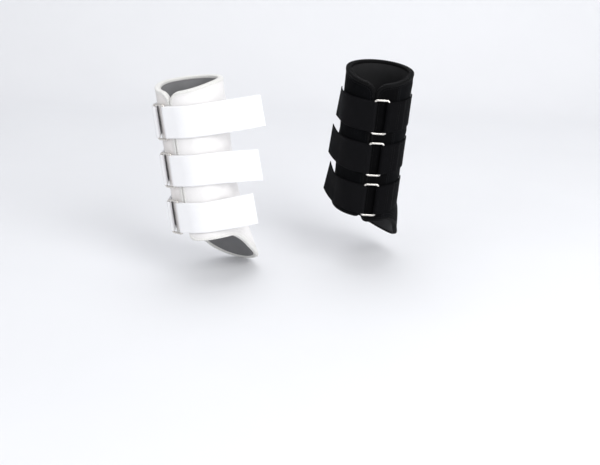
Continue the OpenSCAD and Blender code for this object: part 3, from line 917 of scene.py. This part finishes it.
def build_strap(boot, n):
    """A strap as two pieces that meet round the ring bar, and the hook patch on its free end."""
    name, height = boot.name, boot.heights[n - 1]
    ring_body, strap_body, webbing = f"{name}_ring_{n}", f"{name}_strap_{n}", f"{name}_webbing"
    sewn, free, lay_start = strap_path(boot, n)
    centre = polar(*boot.bar_a)
    anchor = polar(boot.bar_a[0], boot.bar_a[1] + ANCHOR_TURN)

    lower = ribbon(boot, f"base_webbing_{n}", sewn, height, webbing, None)
    boot.body()
    boot.spot(anchor, height)
    boot.spot(centre + BASE_BLEND * (anchor - centre), height)
    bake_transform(lower)
    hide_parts(f"{name}_strap_base_{n}")

    upper = ribbon(boot, f"strap_webbing_{n}", free, height, webbing, None,
                   shape=lambda at: free_end_shape(boot, n, at))
    boot.spot(centre, height)
    boot.spot(centre + FREE_BLEND * (lay_start - centre), height)
    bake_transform(upper)
    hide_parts(f"{name}_strap_{n}")

    hook_end = free[-1:] - HOOK_SHORT * unit(free[-1] - free[-2])
    path = np.concatenate([arc(TAIL_R, boot.base_end + HOOK_AFTER_BASE, boot.leave[n - 1]), hook_end])
    skip = length_of(free) - length_of(path) - HOOK_SHORT
    hook = ribbon(boot, f"hook_tape_{n}", path, height, f"{name}_hook", strap_body,
                  width=STRAP_W - HOOK_NARROW, thick=HOOK_T,
                  shape=lambda at: free_end_shape(boot, n, at + skip),
                  offset=-(STRAP_T + HOOK_T) / 2 - HOOK_GAP)
    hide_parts(f"{name}_hook_{n}")


def build_tab(boot, n):
    """A ring tab: webbing sewn round the front, folded round the ring's front bar and back under itself.

    Returns its stitch rows.
    """
    name, height, bar = boot.name, boot.heights[n - 1], boot.bar_b
    top_r = WEB_R + STRAP_T + TAB_GAP
    over = tangent_angle(bar, top_r - FOLD_R)
    under = tangent_angle(bar, WEB_R + FOLD_R)
    lower_end = bar[1] - under - math.degrees(TAB_DOUBLED / SHELL_R)
    step_at = lower_end - TAB_STEP
    shelf = arc(WEB_R, TAB_END, step_at - TAB_RAMP)
    raised = arc(top_r, step_at, bar[1] - over)
    fold = wrap(bar, bar[1] - over, bar[1] - under + 180)
    back = arc(WEB_R, bar[1] - under, lower_end)
    path = np.concatenate([shelf, raised, fold, back])
    # On the black boot the tab's look is a darker copy of the strap webbing: painted shade
    tab = ribbon(boot, f"tab_webbing_{n}", path, height, f"{name}_tab", boot.body())
    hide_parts(f"{name}_tab_{n}")

    upper_face, lower_face = top_r + STRAP_T / 2, WEB_R + STRAP_T / 2
    across = np.linspace(-TAB_STITCH_HALF, TAB_STITCH_HALF, TAB_STITCH_POINTS)
    along = np.arange(TAB_END + 2, step_at - 4, math.degrees(STITCH_PITCH / SHELL_R))
    rows = []
    for d in TAB_CROSS_ROWS:
        angle = lower_end + math.degrees(d / SHELL_R)
        rows.append([(angle, height + w, upper_face) for w in across])
    for w in (-TAB_STITCH_HALF, TAB_STITCH_HALF):
        rows.append([(angle, height + w, lower_face) for angle in along])
    rows.append([(TAB_END + 2, height + w, lower_face) for w in across])
    return rows


def build_loop(boot):
    """The loop patches as one piece: soft strips under the straps' free ends."""
    name = boot.name
    points, cloth, faces = [], [], []
    first = 0
    for n, height in enumerate(boot.heights):
        angles = np.arange(boot.base_end + LOOP_AFTER_BASE, boot.leave[n] + 0.4, 0.8)
        a, z = np.meshgrid(angles, height + np.linspace(-LOOP_HALF, LOOP_HALF, 40), indexing="ij")
        from_ends = np.minimum(a - angles[0], angles[-1] - a) * SHELL_R * math.pi / 180
        edge = np.minimum(from_ends, LOOP_HALF - np.abs(z - height))
        pile = LOOP_PILE * smooth(edge / 1.2) + LOOP_FUZZ * waves(a * 4, z * 4, 31 + n)
        layers = (SHELL_R + LOOP_LIFT + pile, SHELL_R - LOOP_SINK)
        points += [round_leg(r, a, z).reshape(-1, 3) for r in layers]
        cloth += [np.stack([np.radians(a) * SHELL_R, z], -1).reshape(-1, 2)] * 2
        faces += slab_faces(*a.shape, first)
        first += 2 * a.size
    loop = make_piece(boot, "loop_tape", np.concatenate(points), faces, f"{name}_loop",
                      np.concatenate(cloth), boot.body())
    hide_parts(f"{name}_loop_patches")


# ---------------------------------------------------------------- stitching
def stitch_shape():
    """One stitch, lying along x with its top up z: a short thick thread that dips at both ends."""
    points = []
    for t in np.linspace(-1, 1, STITCH_RINGS):
        girth = math.sqrt(max(0.06, 1 - t**4))
        for k in range(STITCH_SIDES):
            turn = math.tau * k / STITCH_SIDES
            across, up = math.cos(turn) * girth, math.sin(turn) * girth * 0.8
            points.append((t * 0.5, across, up - 0.5 * t * t + 0.15))
    return np.array(points), tube_faces(STITCH_RINGS, STITCH_SIDES)


STITCH_POINTS, STITCH_FACES = stitch_shape()


def build_stitches(boot, name, rows):
    """Stitches along rows of (angle, height, radius), all in one piece."""
    points, faces, cloth = [], [], []
    for line in rows:
        angle, height, radius = np.array(line, float).T
        path = round_leg(radius, angle, height)
        travel = travel_along(path)
        count = int(travel[-1] / STITCH_PITCH)
        if count < 1:
            continue
        at = (np.arange(count) + 0.5) * travel[-1] / count
        centre, ahead, behind = (points_at(path, travel, at + step) for step in (0, 0.8, -0.8))
        along = unit(ahead - behind)
        side = unit(np.cross(unit(centre * np.array([1, 1, 0])), along))
        out = np.cross(along, side)
        length = STITCH_LENGTH * (1 + STITCH_SPREAD * rng.standard_normal(count))
        for c, x, y, z, size in zip(centre, along, side, out, length):
            first = len(points) * len(STITCH_POINTS)
            points.append(STITCH_POINTS[:, :1] * size * x + STITCH_POINTS[:, 1:2] * STITCH_R * y
                          + STITCH_POINTS[:, 2:] * STITCH_R * z + c)
            cloth.append(STITCH_POINTS[:, :2])
            faces += [tuple(first + i for i in f) for f in STITCH_FACES]
    make_piece(boot, name, np.concatenate(points), faces, f"{boot.name}_thread",
               np.concatenate(cloth), boot.body())


def shell_rows(boot, cover):
    """Stitch rows just inside the binding, along the lower edge and beside the elastic panel."""
    a, z, _, _ = outline(boot, EDGE_ROW)
    places = [(a[::3], z[::3])]
    for d in LOW_ROWS:
        a = np.linspace(boot.lo + 6.5, boot.elastic - 2, 220)
        places.append((a, boot.z_low(a) + d))
    for d in ELASTIC_ROWS:
        a = np.full(90, boot.elastic - d)
        places.append((a, np.linspace(boot.z_low(a[0]) + 6, boot.z_top(a[0]) - 6, 90)))
    return [list(zip(a, z, surface_r(boot, cover, a, z))) for a, z in places]


# ---------------------------------------------------------------- both boots
def build_boot(boot):
    cover = build_shell(boot)
    build_binding(boot)
    build_loop(boot)
    build_stitches(boot, "shell_stitching", shell_rows(boot, cover))
    tab_rows = []
    for n in (1, 2, 3):
        tab_rows += build_tab(boot, n)
        build_strap(boot, n)
        ring = frame["nodes"][f"{boot.name}_ring_{n}"]
        ring.data.materials.clear()
        ring.data.materials.append(MATERIALS["ring_wire"])
        ring.data.shade_smooth()
    build_stitches(boot, "tab_stitching", tab_rows)


for boot in (WHITE, BLACK):
    build_boot(boot)


# ---------------------------------------------------------------- stage, light and camera
def build_stage():
    """A pale floor just under the boots that curves up behind them."""
    floor_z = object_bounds()[0][2] - 0.001
    reach, back, rise, bend = 3.0, 1.1, 2.5, 0.35
    profile = [(-reach, floor_z), (back - bend, floor_z)]
    profile += [(back - bend + bend * math.sin(t), floor_z + bend * (1 - math.cos(t)))
                for t in np.linspace(0, math.pi / 2, 16)[1:]]
    profile.append((back, floor_z + rise))
    points = [(x, y, z) for y, z in profile for x in (-reach, reach)]
    faces = [(2 * i, 2 * i + 1, 2 * i + 3, 2 * i + 2) for i in range(len(profile) - 1)]
    mesh = bpy.data.meshes.new("floor")
    mesh.from_pydata(points, [], faces)
    mesh.shade_smooth()
    mesh.materials.append(floor_material("floor"))
    floor = bpy.data.objects.new("floor", mesh)
    bpy.context.scene.collection.objects.link(floor)
    floor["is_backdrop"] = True


def build_light():
    """Soft round lamps that face the boots' middle, and an even pale world."""
    middle = [(lo + hi) / 2 for lo, hi in zip(*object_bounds())]
    for name, ((x, y, z), size, power, colour) in LAMPS.items():
        light = bpy.data.lights.new(name, "AREA")
        light.shape = "DISK"
        light.size = size
        light.energy = power
        light.color = colour
        lamp = bpy.data.objects.new(name, light)
        lamp.location = (middle[0] + x, y, z)
        lamp.rotation_euler = (Vector(middle) - lamp.location).to_track_quat("-Z", "Y").to_euler()
        bpy.context.scene.collection.objects.link(lamp)
    world = bpy.data.worlds.new("studio")
    world.use_nodes = True
    background = world.node_tree.nodes["Background"]
    background.inputs["Color"].default_value = WORLD_COLOUR
    background.inputs["Strength"].default_value = WORLD_STRENGTH
    bpy.context.scene.world = world


def build_camera():
    data = bpy.data.cameras.new("camera")
    data.sensor_width = CAMERA_SENSOR
    data.lens = CAMERA_LENS
    camera = bpy.data.objects.new("camera", data)
    place = Matrix.Translation(CAMERA_AT)
    tilt = Matrix.Rotation(math.radians(90 - CAMERA_DOWN), 4, "X")
    roll = Matrix.Rotation(math.radians(CAMERA_ROLL), 4, "Z")
    camera.matrix_world = place @ tilt @ roll
    bpy.context.scene.collection.objects.link(camera)
    bpy.context.scene.camera = camera


build_stage()
build_light()
build_camera()

bpy.context.scene.view_settings.view_transform = "Standard"
